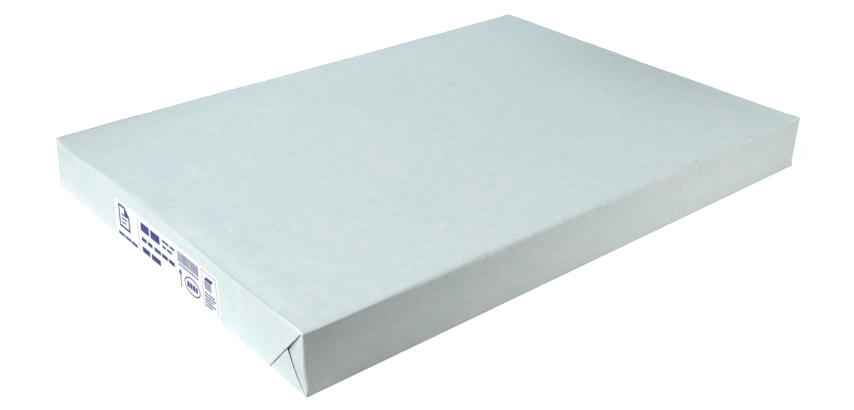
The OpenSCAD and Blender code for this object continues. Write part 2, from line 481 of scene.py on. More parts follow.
    def side_tone(self, x, z):
        """Painted light and shade over a long side: darker under the upper edge, paler at the foot"""
        from_end, drop = x + HALF_LENGTH, HEIGHT - z
        # Painted light and shade: lighter low down and darker high up near the labelled end, a faint lighter
        # streak, paler low down with a dark line at the very foot, and darker under the upper edge
        near = blend(0.12, -0.17, z / HEIGHT) * ramp(from_end, 32, 0)
        streak = bell(from_end - 6 * MM - 0.8 * drop, 3) * ramp(drop, 6, 16) * ramp(z, 4, 12)
        foot = 0.13 * np.exp(-z / (9 * MM)) * (1 - 0.75 * ramp(from_end, 90, 220)) - 0.16 * bell(z, 1.1)
        crown = 0.7 * eased_through(SHOULDER_SHADES, from_end) * bell(drop, 1.8) + 0.05 * ramp(z, 18, 36)
        return near + 0.03 * streak + (foot - crown) * ramp(from_end, 0, 16)

    def end_tone(self, y, z, hand):
        """Painted light and shade over a short end, brightest low down beside the label"""
        if hand > 0:
            return np.zeros_like(z)
        from_back = HALF_WIDTH - y
        # Painted light low down and beside the label, and painted shade along the upper edge, at the back
        # corner and high up toward the back
        glow = bell(from_back - 243 * MM, 26) * bell(z - 14 * MM, 18)
        foot = np.exp(-z / (10 * MM)) * (1 - 0.5 * ramp(from_back, 285, 300))
        grey = self.crown_shade(y, HEIGHT - z) + 0.07 * bell(from_back, 2.2)
        grey += 0.09 * bell(z - 36 * MM, 7) * ramp(from_back, 55, 18)
        grey += 0.02 * (ramp(from_back, 270, 300) + ramp(from_back, 40, 0))
        return 0.04 * glow + 0.14 * foot - grey

    def edge_wear_and_highlight(self, x, y, z):
        """Wear and painted highlight along every edge but the foot's"""
        from_end, from_side, drop = insets(x, y, z)
        reach = self.sizes.wear_and_highlight_reach / MM
        upright = bell(from_end + from_side, reach)
        crown = bell(np.minimum(from_end, from_side) + drop, reach)
        crown *= blend(0.06, 1.0, bell(np.maximum(from_end, from_side), 18))
        crown *= np.where((x < 0) & (y < 0), 1.0, 0.2)
        return np.maximum(upright, crown) * (1 - WEAR_AND_HIGHLIGHT_PATCHES.height + relief(x + y, z, WEAR_AND_HIGHLIGHT_PATCHES))

    def drawn_in(self, x, level):
        """How far the paper near an end is drawn in, dying away from the end"""
        return level * ramp(HALF_LENGTH - np.abs(x), self.draw_reach, 0) * -np.sign(x)

    def top(self, x, y):
        """The upper side"""
        z = np.full_like(x, HEIGHT)
        placed = self.round_over(x, y, z)
        from_end, from_side, _ = insets(x, y, z)
        waves = relief(x, y, TOP_WAVES) + relief(x, y, TOP_RIPPLES) - self.top_sink
        placed[..., 2] += waves * self.sizes.wave * ramp(np.minimum(from_end, from_side), 0, 22)
        crease, presence = self.crease(x, y)
        placed[..., 2] -= self.sizes.crease_depth * crease * presence
        # Painted light and shade of the upper side and beside its dents
        tone = self.top_tone(x, y) + self.ticks(x, y, z)
        return self.finish(x, y, z, placed), np.zeros_like(x), self.edge_wear_and_highlight(x, y, z), tone

    def crease(self, x, y):
        """The crease on the upper side, just in from the labelled end, and how clear it is"""
        from_back = HALF_WIDTH - y
        inset = self.sizes.crease_inset * (1 + relief(y, x * 0, CREASE_WANDER))
        line = bell(x + HALF_LENGTH - inset, 0.55)
        presence = ramp(from_back, 150, 200) * ramp(from_back, 319, 311)
        return line, presence * (1 - CREASE_PATCHES.height + relief(y, x * 0, CREASE_PATCHES))

    def underside(self, x, y):
        """The underside, with the step of its lap seam"""
        z = np.zeros_like(x)
        placed = self.round_over(x, y, z)
        placed[..., 0] += self.drawn_in(x, self.sizes.flap_lift)
        lapped = ramp(y - self.sizes.seam_offset, -0.01, 0.01) * ramp(HALF_WIDTH - y, 4, 30)
        placed[..., 2] += self.sizes.seam_step * lapped * ramp(HALF_LENGTH - np.abs(x), 0, 6)
        return self.finish(x, y, z, placed), z, z, z

    def side(self, x, z, hand):
        """A long side"""
        y = np.full_like(x, hand * HALF_WIDTH)
        placed = self.round_over(x, y, z)
        placed[..., 0] += self.drawn_in(x, self.corner_level(z))
        room = np.minimum(HALF_LENGTH - np.abs(x), np.minimum(z, HEIGHT - z) * 3)
        waves = relief(x, z, SIDE_WAVES, hand) + relief(x, z, SIDE_RIPPLES, hand) - self.side_sink
        placed[..., 1] += waves * hand * self.sizes.wave * ramp(room, 0, 24)
        # Painted light and shade of the long side and beside its dents
        tone = self.side_tone(x, z) + self.ticks(x, y, z)
        return self.finish(x, y, z, placed), np.zeros_like(x), self.edge_wear_and_highlight(x, y, z), tone

    def end(self, y_marks, upright_marks, hand):
        """A short end with its envelope folds: tuck, inner flap and outer flap"""
        inset = HALF_WIDTH - np.abs(y_marks)
        seed = NEAR_SEED if hand < 0 else FAR_SEED
        rows = self.end_rows(inset, y_marks, upright_marks / HEIGHT, seed)
        z, depth, dark, light, tucked = (np.stack(column, 1) for column in zip(*rows))
        y = np.broadcast_to(y_marks[:, None], z.shape)
        x = np.full(z.shape, hand * HALF_LENGTH)
        placed = self.round_over(x, y, z)
        placed[..., 0] -= depth * hand
        # Painted shade on the side tuck, which the outer flap keeps in shadow
        tuck_shade = np.where((hand < 0) & (y > 0), 0.02, 0.08) * tucked * ramp(inset, 0, 3)[:, None]
        wear_and_highlight = np.maximum(light, self.edge_wear_and_highlight(x, y, z) * (1 - dark))
        return self.finish(x, y, z, placed), dark, wear_and_highlight, self.end_tone(y, z, hand) - tuck_shade

    def end_rows(self, inset, y, upright_shares, seed):
        """Rows up an end, bottom to top: height, depth, painted shade, wear with painted highlight, and 1 on
        the tuck
        """
        sizes = self.sizes
        none, taper = np.zeros_like(inset), ramp(inset, 0, 3)
        inner_stretch = np.hypot(1, self.inner_run + sizes.inner_bow * (2 * inset - self.meet))
        inner_stretch = np.minimum(inner_stretch, self.steepest)
        inner_edge = inset * (self.inner_run + sizes.inner_bow * (inset - self.meet))
        outer_edge, outer_stretch, flat = self.flap_edge(inset)
        undercut = sizes.undercut * taper
        ceiling = outer_edge + undercut * outer_stretch
        inner_roll = sizes.fold_roll * taper
        outer_roll = blend(sizes.fold_roll, sizes.cut_roll, flat) * taper

        def tuck_depth(z):
            """How deep the side tuck lies"""
            laid = (2 * sizes.fold_roll + 0.06 * MM) * taper + sizes.tuck_sink * ramp(inset, 0, 10)
            off = np.hypot(inset - self.meet, z - self.meet * self.inner_run)
            pocket = sizes.pocket_depth * bell(off, sizes.pocket_reach / MM) * ramp(inset, 0, 8)
            return self.corner_level(z) + laid + pocket

        def inner_depth(z):
            """How deep the inner flap lies"""
            away = np.maximum(inner_edge - z, 0) / inner_stretch
            spring = sizes.flap_spring / 2 * bell(away, 3) * ramp(inset, 2, 8) * ramp(inset, 16, 12)
            return sizes.flap_lift - spring * ramp(z, 0, 4)

        def held(height, depth, dark, light):
            """Keeps a row under the outer flap, and closes up what would pass behind it"""
            past = np.clip((height - ceiling) / self.collapse, 0, 1)
            level = blend(depth, sizes.flap_lift, past)
            # What closes up is drawn in full painted shade
            return np.minimum(height, ceiling), level, blend(dark, 1.0, past), light * (1 - past), none

        rows = []
        inner_top = np.minimum(inner_edge - self.surface_reach * taper * inner_stretch, ceiling)
        for share in self.inner_shares():
            height = inner_top * share
            # Painted shade on the inner flap where it runs under the outer flap
            under = ramp(height - outer_edge, 0, 0.4) * (inset > 1 * MM)
            rows.append((height, inner_depth(height), under, none, none))

        inner_level = inner_depth(inner_edge)
        # The rows round the inner flap's fold carry wear and painted highlight on its face and painted
        # shadow under it
        fold = [((self.wear_and_highlight_band * taper, none), 0, FOLD_SIDE_WEAR_AND_HIGHLIGHT)]
        fold += zip(rolled(inner_roll), INNER_SHADOW, FOLD_WEAR_AND_HIGHLIGHT)
        fold.append(((undercut, 2 * inner_roll), 1, 0))
        for (back, behind), dark, light in fold:
            height = inner_edge - back * inner_stretch
            rows.append(held(height, inner_level + behind, none + dark, none + light))

        floor_edge = inner_edge - undercut * inner_stretch
        past = np.clip((floor_edge - ceiling) / self.collapse, 0, 1)
        wedge = 0.3 + 2.4 * ease(0, self.meet, inset)
        for share in upright_shares:
            height = blend(np.minimum(floor_edge, ceiling), ceiling, share)
            from_inner = (height - inner_edge) / inner_stretch
            from_outer = (outer_edge - height) / outer_stretch
            # Painted shade in the gaps under both folds, and a painted shadow wedge on the tuck under the
            # outer flap
            dark = np.maximum(ramp(from_inner, 0.1, -0.4), 0.6 * ramp(from_outer, 0.1, -0.4))
            shade = 0.50 * ease(2 * MM, self.meet, inset) * bell(np.maximum(from_outer, 0), wedge)
            dark = np.maximum(np.maximum(dark, shade), past) * taper
            rows.append((height, blend(tuck_depth(height), sizes.flap_lift, past), dark, none, none + 1))

        front = self.flap_front(y, outer_edge, seed)
        # The rows round the outer flap's fold carry painted shadow under it and wear and painted highlight
        # on its face
        rows.append((ceiling, 2 * outer_roll + front, none + 1, none, none))
        for (back, behind), dark, light in reversed([*zip(rolled(outer_roll), OUTER_SHADOW, FOLD_WEAR_AND_HIGHLIGHT)]):
            rows.append((outer_edge + back * outer_stretch, front + behind, none + dark, none + light, none))
        height = outer_edge + self.wear_and_highlight_band * taper * outer_stretch
        rows.append((height, self.flap_front(y, height, seed), none, none + FOLD_SIDE_WEAR_AND_HIGHLIGHT, none))
        start = outer_edge + self.surface_reach * taper * outer_stretch
        for share in self.outer_shares():
            height = blend(start, HEIGHT, share)
            rows.append((height, self.flap_front(y, height, seed), none, none, none))
        return rows

    def inner_shares(self):
        """Even spread of rows up the inner flap, closer at its foot"""
        marks = graded((2, 0.2), (22, 2.6))
        return marks / marks[-1]

    def outer_shares(self):
        """Spread of rows up the outer flap, closer at its upper bend"""
        marks = graded((4.5, 0.4), (HEIGHT / MM, 2.8))
        return 1 - marks[::-1] / marks[-1]


def mesh_from_sheets(name, sheets):
    """Joins grids of points into one mesh. A sheet is its points, its painted shade in the gaps, its wear
    and painted highlight, and its painted light and shade as tone
    """
    points, faces, masks, start = [], [], [], 0
    for place, *marks in sheets:
        rows, columns = place.shape[:2]
        index = np.arange(rows * columns).reshape(rows, columns) + start
        points.append(place.reshape(-1, 3))
        masks.append(np.stack(marks, -1).reshape(-1, 3))
        quads = [index[:-1, :-1], index[1:, :-1], index[1:, 1:], index[:-1, 1:]]
        faces.append(np.stack(quads, -1).reshape(-1, 4))
        start += rows * columns
    mesh = bpy.data.meshes.new(name)
    mesh.from_pydata(np.concatenate(points).tolist(), [], np.concatenate(faces).tolist())
    for values, key in zip(np.concatenate(masks).T, ("gap", "wear_and_highlight", "tone")):
        mesh.attributes.new(key, "FLOAT", "POINT").data.foreach_set("value", values.astype(np.float32))
    return mesh


def close_up(mesh, flat_below):
    """Welds the sheets of a mesh, turns its faces outwards and thins out its flat foot"""
    work = bmesh.new()
    work.from_mesh(mesh)
    bmesh.ops.remove_doubles(work, verts=work.verts, dist=WELD)
    bmesh.ops.dissolve_degenerate(work, dist=WELD, edges=work.edges)
    bmesh.ops.recalc_face_normals(work, faces=work.faces)
    foot = {face for face in work.faces if max(v.co.z for v in face.verts) < flat_below}
    inner = [edge for edge in work.edges if all(face in foot for face in edge.link_faces)]
    bmesh.ops.dissolve_limit(work, angle_limit=FLAT_ANGLE, verts=[], edges=inner)
    open_edges = sum(1 for edge in work.edges if len(edge.link_faces) != 2)
    if open_edges:
        raise RuntimeError(f"{mesh.name} is not closed: {open_edges} loose edges")
    fill_mesh(mesh, work)


def fill_mesh(mesh, work):
    """Hands worked-out faces to a mesh and shades them smooth between hard edges"""
    work.to_mesh(mesh)
    work.free()
    mesh.shade_smooth()
    mesh.set_sharp_from_angle(angle=HARD_EDGE)


def link(name, data):
    """Puts a new object into the scene"""
    made = bpy.data.objects.new(name, data)
    bpy.context.scene.collection.objects.link(made)
    return made


def add_piece(name, mesh, material, replaced=None):
    """Puts a finished mesh into the scene and ties it to the frame"""
    piece = link(name, mesh)
    piece.data.materials.clear()
    piece.data.materials.append(material)
    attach(piece, "root")
    if replaced:
        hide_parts(replaced)


def put(tree, kind, inputs=None, **settings):
    """Adds a node, sets it up, and fills or links its inputs"""
    made = tree.nodes.new(kind)
    for key, value in settings.items():
        setattr(made, key, value)
    for key, value in (inputs or {}).items():
        if isinstance(value, bpy.types.NodeSocket):
            tree.links.new(value, made.inputs[key])
        else:
            made.inputs[key].default_value = value
    return made


def compute(tree, operation, first, second=0.0):
    """A Math node's output"""
    return put(tree, "ShaderNodeMath", {0: first, 1: second}, operation=operation).outputs[0]


def mix_colours(tree, share, first, second, kind="MIX"):
    """A colour mix's output"""
    # Sockets 6 and 7 are the node's two colours, and output 2 is their mix
    made = put(tree, "ShaderNodeMix", {0: share, 6: first, 7: second}, data_type="RGBA", blend_type=kind)
    return made.outputs[2]


def times(tree, first, second):
    """A product's output"""
    return compute(tree, "MULTIPLY", first, second)


def tinted(tree, colour, mask, strength, tint):
    """A colour with a tint mixed in under a mask"""
    return mix_colours(tree, times(tree, mask, strength), colour, tuple(tint))


def toned(tree, colour, tone):
    """A colour made paler or greyer by a value"""
    shade = put(tree, "ShaderNodeCombineColor", {0: tone, 1: tone, 2: tone}).outputs[0]
    return mix_colours(tree, 1.0, colour, shade, "MULTIPLY")


def levels(tree, value, low, high, out_low=0.0, out_high=1.0):
    """Stretches a value from one range to another"""
    return put(tree, "ShaderNodeMapRange", {0: value, 1: low, 2: high, 3: out_low, 4: out_high}).outputs[0]


def read_mask(tree, key):
    """A mask that the wrapper's mesh carries"""
    return put(tree, "ShaderNodeAttribute", attribute_name=key).outputs["Fac"]


def add_sockets(tree, inputs, outputs):
    """Gives a node group its sockets, and its input and output nodes"""
    for key, kind, value in inputs:
        socket = tree.interface.new_socket(key, in_out="INPUT", socket_type=kind)
        if value is not None:
            socket.default_value = value
    for key, kind in outputs:
        tree.interface.new_socket(key, in_out="OUTPUT", socket_type=kind)
    return tree.nodes.new("NodeGroupInput"), tree.nodes.new("NodeGroupOutput")


def paper_grain_group():
    """Pulp of a paper: fibres, mottling and slow clouds, from Object coordinates"""
    name = "Paper grain"
    if name in bpy.data.node_groups:
        return bpy.data.node_groups[name]
    tree = bpy.data.node_groups.new(name, "ShaderNodeTree")
    number = "NodeSocketFloat"
    sizes = [("Fibre", number, 900.0), ("Mottle", number, 150.0), ("Cloud", number, 18.0)]
    results = ("Fibres", "Mottling", "Clouds", "Rose", "Blue", "Height")
    given, result = add_sockets(tree, [("Vector", "NodeSocketVector", None), *sizes],
                                [(key, number) for key in results])
    noises = []
    for key, detail, roughness, distortion in (
            ("Fibre", 3.0, 0.62, 1.6), ("Mottle", 4.0, 0.62, 0.9), ("Cloud", 2.5, 0.5, 0.4)):
        noises.append(put(tree, "ShaderNodeTexNoise", {
            "Vector": given.outputs["Vector"], "Scale": given.outputs[key], "Detail": detail,
            "Roughness": roughness, "Distortion": distortion}))
    fibres, wisps, clouds = (noise.outputs[0] for noise in noises)
    tints = put(tree, "ShaderNodeSeparateColor", {0: noises[1].outputs[1]}).outputs
    fine_share = 0.45
    height = compute(tree, "ADD", times(tree, fibres, fine_share),
                     times(tree, wisps, 1 - fine_share))
    for key, socket in zip(results, (fibres, wisps, clouds, tints[1], tints[2], height)):
        tree.links.new(socket, result.inputs[key])
    return tree


def new_paper(name, specular, roughness, bump=None, **grain_sizes):
    """A material with its Principled shader, its paper grain and its Object coordinates.
    Roughness is a mask's name with its lowest and highest, bump a strength and a depth"""
    material = bpy.data.materials.new(name)
    material.use_nodes = True
    tree = material.node_tree
    shader = tree.nodes["Principled BSDF"]
    shader.inputs["Specular IOR Level"].default_value = specular
    place = tree.nodes.new("ShaderNodeTexCoord").outputs["Object"]
    grain = put(tree, "ShaderNodeGroup", node_tree=paper_grain_group())
    tree.links.new(place, grain.inputs["Vector"])
    for key, size in grain_sizes.items():
        grain.inputs[key].default_value = size
    key, lowest, highest = roughness
    rough = levels(tree, grain.outputs[key], *NOISE_RANGE, lowest, highest)
    tree.links.new(rough, shader.inputs["Roughness"])
    if bump:
        strength, depth = bump
        bumps = put(tree, "ShaderNodeBump", {
            "Strength": strength, "Distance": depth * MM, "Height": grain.outputs["Height"]})
        tree.links.new(bumps.outputs[0], shader.inputs["Normal"])
    return material, tree, shader, place, grain.outputs


def all_spots(tree, place, spots):
    """1 at any of several spots of the upper side, fading to 0 at its radius"""
    total = 0.0
    for x, y, radius in spots:
        middle = (x * MM, y * MM, HEIGHT)
        far = put(tree, "ShaderNodeVectorMath", {0: place, 1: middle}, operation="DISTANCE")
        reach = {0: far.outputs["Value"], 1: 0.0, 2: radius * MM, 3: 1.0, 4: 0.0}
        fade = put(tree, "ShaderNodeMapRange", reach, interpolation_type="SMOOTHERSTEP").outputs[0]
        total = compute(tree, "MAXIMUM", fade, total)
    return total


def wrapper_material(finish):
    """Soft, fibrous wrapping paper, with wear and painted highlight along its folds and painted shade under
    them
    """
    material, tree, shader, place, grain = new_paper(
        "Wrapping paper", 0.35, ("Mottling", 0.66, 0.80), (0.5, 0.05))
    cloud, mottle, rose, blue = (
        levels(tree, grain[key], 0.40, 0.64) for key in ("Clouds", "Mottling", "Rose", "Blue"))
    stain = times(tree, all_spots(tree, place, BLUE_STAINS), blue)
    blush = times(tree, all_spots(tree, place, PINK_STAINS), rose)
    colour = tuple(finish.pulp)
    for mask, strength, tint in (
            (cloud, 0.40, finish.teal), (mottle, 0.30, finish.teal), (rose, 0.40, finish.rose),
            (blue, 0.22, finish.blue), (stain, 0.55, finish.blue), (blush, 0.45, finish.rose)):
        colour = tinted(tree, colour, mask, strength, tint)
    fibres = levels(tree, grain["Fibres"], *NOISE_RANGE, 0.945, 1.045)
    flocks = levels(tree, grain["Mottling"], *NOISE_RANGE, 1.028, 0.972)
    # Painted light and shade that the mesh carries as its tone
    slow = compute(tree, "ADD", read_mask(tree, "tone"), 1.0)
    colour = toned(tree, colour, times(tree, times(tree, fibres, flocks), slow))
    # Wear and painted highlight along the folds and edges, patchy
    patchy = levels(tree, grain["Mottling"], 0.35, 0.6, 0.2, 0.5)
    colour = tinted(tree, colour, read_mask(tree, "wear_and_highlight"), patchy, finish.rubbed_and_lit)
    specks = times(tree, all_spots(tree, place, SPECKS), 0.7)
    # Painted shade in the gaps under the folds and on the tuck, joined with the real dark specks
    shadow = compute(tree, "MAXIMUM", read_mask(tree, "gap"), specks)
    tree.links.new(tinted(tree, colour, shadow, 0.8, finish.deep), shader.inputs["Base Color"])
    return material


def label_material(finish):
    """Smooth white label paper"""
    material, tree, shader, _, grain = new_paper(
        "Label paper", 0.4, ("Fibres", 0.42, 0.58), (0.3, 0.02), Fibre=1600.0, Mottle=420.0, Cloud=60.0)
    tone = levels(tree, grain["Clouds"], *NOISE_RANGE, 0.985, 1.01)
    tree.links.new(toned(tree, tuple(finish.label_white), tone), shader.inputs["Base Color"])
    return material


def ink_material(name, ink, thin_ink):
    """Offset ink, slightly starved in places"""
    if name in bpy.data.materials:
        return bpy.data.materials[name]
    material, tree, shader, _, grain = new_paper(
        name, 0.15, ("Fibres", 0.40, 0.60), Fibre=2200.0, Mottle=700.0, Cloud=90.0)
    starved = levels(tree, grain["Mottling"], 0.48, 0.75, 0.0, 0.18)
    tree.links.new(mix_colours(tree, starved, tuple(ink), tuple(thin_ink)), shader.inputs["Base Color"])
    return material


def row_of_marks_tree():
    """Geometry Nodes that print a row of marks of chance widths, fitted to a length"""
    name = "Row of marks"
    if name in bpy.data.node_groups:
        return bpy.data.node_groups[name]
    tree = bpy.data.node_groups.new(name, "GeometryNodeTree")
    number, whole_number = "NodeSocketFloat", "NodeSocketInt"
    sizes = [("Length", number, 20 * MM), ("Height", number, 1 * MM), ("Count", whole_number, 8),
             ("Narrowest", number, 1 * MM), ("Widest", number, 3 * MM), ("Gap", number, 0.6 * MM),
             ("Seed", whole_number, 1), ("Ink", "NodeSocketMaterial", None)]
    given, result = add_sockets(tree, sizes, [("Geometry", "NodeSocketGeometry")])
    take = given.outputs
    line = put(tree, "GeometryNodeMeshLine", {"Count": take["Count"], "Offset": (0, 0, 0)})
    chance = put(tree, "FunctionNodeRandomValue", data_type="FLOAT")
    for key, socket in (("Min", take["Narrowest"]), ("Max", take["Widest"])):
        wanted = next(i for i in chance.inputs if i.name == key and i.type == "VALUE")
        tree.links.new(socket, wanted)
    tree.links.new(take["Seed"], chance.inputs["Seed"])
    width = next(o for o in chance.outputs if o.type == "VALUE")
    running = put(tree, "GeometryNodeAccumulateField", data_type="FLOAT")
    tree.links.new(compute(tree, "ADD", width, take["Gap"]), running.inputs[0])
    whole = compute(tree, "SUBTRACT", running.outputs["Total"], take["Gap"])
    fit = compute(tree, "DIVIDE", take["Length"], whole)
    middle = compute(tree, "ADD", running.outputs["Trailing"], times(tree, width, 0.5))
    place = put(tree, "ShaderNodeCombineXYZ", {0: times(tree, middle, fit)})
    spread = put(tree, "GeometryNodeSetPosition", {
        "Geometry": line.outputs[0], "Position": place.outputs[0]})
    mark = put(tree, "GeometryNodeMeshGrid", {
        "Size X": 1.0, "Size Y": 1.0, "Vertices X": 2, "Vertices Y": 2})
    fitted = times(tree, width, fit)
    size = put(tree, "ShaderNodeCombineXYZ", {0: fitted, 1: take["Height"], 2: 1.0})
    copies = put(tree, "GeometryNodeInstanceOnPoints", {
        "Points": spread.outputs[0], "Instance": mark.outputs[0], "Scale": size.outputs[0]})
    solid = put(tree, "GeometryNodeRealizeInstances", {0: copies.outputs[0]})
    inked = put(tree, "GeometryNodeSetMaterial", {"Geometry": solid.outputs[0], "Material": take["Ink"]})
    tree.links.new(inked.outputs[0], result.inputs[0])
    return tree


def box_corners(x, y, width, height):
    """Corners of a box from its lower left one"""
    return [(x, y), (x + width, y), (x + width, y + height), (x, y + height)]


class Print:
    """Flat print in the label's own plane: across to the right and up, from its middle"""

    def __init__(self, ink):
        self.ink = ink
        self.sheet = bmesh.new()

    def corners(self, points):
        """New points of the sheet"""
        return [self.sheet.verts.new((x, y, 0)) for x, y in points]

    def outline(self, points):
        """A filled outline"""
        self.sheet.faces.new(self.corners(points))

    def box(self, *sizes):
        """A filled box from its lower left corner, its width and its height"""
        self.outline(box_corners(*sizes))

    def band(self, outer, inner):
        """A closed line between two outlines with as many points"""
        rim, hole = self.corners(outer), self.corners(inner)
        for i in range(len(rim)):
            self.sheet.faces.new([rim[i - 1], rim[i], hole[i], hole[i - 1]])

    def frame(self, x, y, width, height, line):
        """The outline of a box"""
        inner = box_corners(x + line, y + line, width - 2 * line, height - 2 * line)
        self.band(box_corners(x, y, width, height), inner)

    def ring(self, x, y, half_width, half_height, line, points=36):
        """An oval line about a point"""
        turns = [2 * math.pi * i / points for i in range(points)]
        outer, inner = ([(x + (half_width - inset) * math.cos(t), y + (half_height - inset) * math.sin(t))
                         for t in turns] for inset in (0, line))
        self.band(outer, inner)

    def marks(self, row):
        """A row of marks"""
        tree = row_of_marks_tree()
        carrier = link("row", bpy.data.meshes.new("row"))
        modifier = carrier.modifiers.new("row", "NODES")
        modifier.node_group = tree
        wanted = {"Count": row.count, "Seed": row.seed, "Ink": self.ink}
        for key in ("length", "height", "narrowest", "widest", "gap"):
            wanted[key.capitalize()] = getattr(row, key) * MM
        for item in tree.interface.items_tree:
            if item.in_out == "INPUT":
                modifier[item.identifier] = wanted[item.name]
        ready = carrier.evaluated_get(bpy.context.evaluated_depsgraph_get())
        made = bpy.data.meshes.new_from_object(ready)
        made.transform(Matrix.Translation((row.left * MM, (row.foot + row.height / 2) * MM, 0)))
        self.sheet.from_mesh(made)
        bpy.data.meshes.remove(made)
        bpy.data.objects.remove(carrier)

    def cut_up(self, sizes):
        """Cuts the print into facets that can follow the flap"""
        nudge = 0.01 * MM
        for axis, reach in ((0, sizes.length / 2), (1, sizes.height / 2)):
            for cut in np.arange(-reach + sizes.follow_step, reach, sizes.follow_step):
                spot, direction = Vector((0, 0, 0)), Vector((0, 0, 0))
                spot[axis], direction[axis] = cut + nudge, 1
                bmesh.ops.bisect_plane(
                    self.sheet, geom=self.everything(), dist=0, plane_co=spot, plane_no=direction)

    def everything(self):
        """All that the sheet holds"""
        return self.sheet.verts[:] + self.sheet.edges[:] + self.sheet.faces[:]

    def stick(self, name, front, back, replaced=None):
        """Gives the print a thickness, from a front to a back depth, and lays it on the flap"""
        wrapper, sizes, _, _ = settings()
        sheet = self.sheet
        self.cut_up(sizes)
        bmesh.ops.recalc_face_normals(sheet, faces=sheet.faces)
        for face in sheet.faces:
            if face.normal.z < 0:
                face.normal_flip()
        backing = bmesh.ops.duplicate(sheet, geom=self.everything())
        for face in (f for f in backing["geom"] if isinstance(f, bmesh.types.BMFace)):
            face.normal_flip()
        behind = {v for v in backing["geom"] if isinstance(v, bmesh.types.BMVert)}
        pair = backing["vert_map"]
        rim = [e for e in sheet.edges if len(e.link_faces) == 1 and e.verts[0] not in behind]
        for edge in rim:
            first, second = edge.link_loops[0].vert, edge.link_loops[0].link_loop_next.vert
            sheet.faces.new([second, first, pair[first], pair[second]])
        flat = np.array([(vert.co.x, vert.co.y, back if vert in behind else front) for vert in sheet.verts])
        for vert, place in zip(sheet.verts, place_on_label(Wrap(wrapper), sizes, *flat.T)):
            vert.co = place
        mesh = bpy.data.meshes.new(name)
        fill_mesh(mesh, sheet)
        add_piece(name, mesh, self.ink, replaced)


def place_on_label(wrap, sizes, across, up, depth):
    """Lays points of the label's plane on the outer flap, at depths behind its face"""
    cosine, sine = math.cos(sizes.slant), math.sin(sizes.slant)
    y = LABEL_MIDDLE.y - (across * cosine - up * sine)
    z = LABEL_MIDDLE.z + (across * sine + up * cosine)
    x = np.full_like(y, -HALF_LENGTH)
    return wrap.finish(x, y, z, np.stack([x + wrap.flap_front(y, z, NEAR_SEED) + depth, y, z], -1))


def settings():
    """The property groups of the scene"""
    scene = bpy.context.scene
    return scene.ream_wrapper, scene.ream_label, scene.ream_finish, scene.ream_studio


def navy_print():
    """An empty print in the main ink"""
    finish = settings()[2]
    return Print(ink_material("Navy ink", finish.navy, finish.thin_ink))


def stick_print(ink_print, name):
    """Lays a finished print on the label"""
    sizes = settings()[1]
    ink_print.stick(name, -sizes.thickness - sizes.ink_thickness, -sizes.thickness / 2)


def mm(*values):
    """Lengths that are given in millimetres"""
    return tuple(value * MM for value in values)


class REAM_OT_wrapper(Operator):
    """Folds the wrapping paper round the stack"""

    bl_idname = "ream.wrapper"
    bl_label = "Folded wrapper"

    def execute(self, context):
        sizes, _, finish, _ = settings()
        wrap = Wrap(sizes)
        near = graded((4.6, 0.2), (HALF_LENGTH / MM, 2.3))
        far = graded((3, 0.3), (HALF_LENGTH / MM, 3.2))
        along = np.concatenate([near - HALF_LENGTH, (HALF_LENGTH - far[::-1])[1:]])
        from_side = graded((3.5, 0.25), (42, 1.2), (HALF_WIDTH / MM, 4.2))
        seam = sizes.seam_offset + np.array(mm(-0.02, 0.02))
        across = np.sort(np.concatenate([there_and_back(from_side, 2 * HALF_WIDTH) - HALF_WIDTH, seam]))
        upright = there_and_back(graded((3.6, 0.3), (HEIGHT / 2 / MM, 2.4)), HEIGHT)
        x, y = np.meshgrid(along, across, indexing="ij")
        side_x, side_z = np.meshgrid(along, upright, indexing="ij")
        sheets = [wrap.top(x, y), wrap.underside(x, y)]
        for hand in (-1, 1):
            sheets.append(wrap.side(side_x, side_z, hand))
            sheets.append(wrap.end(across, upright, hand))
        mesh = mesh_from_sheets("folded_wrapper", sheets)
        close_up(mesh, 0.01 * MM)
        add_piece("folded_wrapper", mesh, wrapper_material(finish), "wrapped_ream")
        return {"FINISHED"}


class REAM_OT_label(Operator):
    """Sticks the white label on the outer flap"""

    bl_idname = "ream.label"
    bl_label = "Label"

    def execute(self, context):
        _, sizes, finish, _ = settings()
        plate = Print(label_material(finish))
        corner, steps, points = sizes.corner, 8, []
        for turn, (right, upper) in enumerate(((1, 1), (-1, 1), (-1, -1), (1, -1))):
            middle_x, middle_y = (sizes.length / 2 - corner) * right, (sizes.height / 2 - corner) * upper
            for step in range(steps + 1):
                angle = math.pi / 2 * (turn + step / steps)
                points.append((middle_x + corner * math.cos(angle), middle_y + corner * math.sin(angle)))
        plate.outline(points)
        plate.stick("stuck_label", -sizes.thickness, 0.05 * MM, "label")
        return {"FINISHED"}


class REAM_OT_sign(Operator):
    """Prints the sign of a page with a turned corner, and a row of words under it"""

    bl_idname = "ream.sign"
    bl_label = "Page sign"

    def execute(self, context):
        page = navy_print()
        left, foot, width, height, turn, line = mm(-63.0, -4.6, 15.5, 17.6, 6.2, 1.8)
        right, top, thin = left + width, foot + height, 0.6 * line
        outer = [(left, foot), (right, foot), (right, top - turn), (right - turn, top), (left, top)]
        inner = [(left + line, foot + line), (right - line, foot + line),
                 (right - line, top - turn - line / 2), (right - turn - line / 2, top - line),
                 (left + line, top - line)]
        page.band(outer, inner)
        page.outline([(right - turn - thin, top - thin), (right - turn - thin, top - turn - line),
                      (right - thin, top - turn - thin)])
        inset, pitch, thickness = mm(3.8, 3.0, 1.3)
        for row, length in enumerate(mm(5.7, 7.9, 7.9)):
            page.box(left + inset, foot + inset + pitch * row, length, thickness)
        page.marks(SIGN_ROW)
        stick_print(page, "label_sign")
        return {"FINISHED"}


class REAM_OT_words(Operator):
    """Prints the words in the middle of the label as rows of plain blocks"""

    bl_idname = "ream.words"
    bl_label = "Word blocks"

    def execute(self, context):
        words = navy_print()
        for row in WORD_ROWS:
            words.marks(row)
        stick_print(words, "label_words")
        return {"FINISHED"}


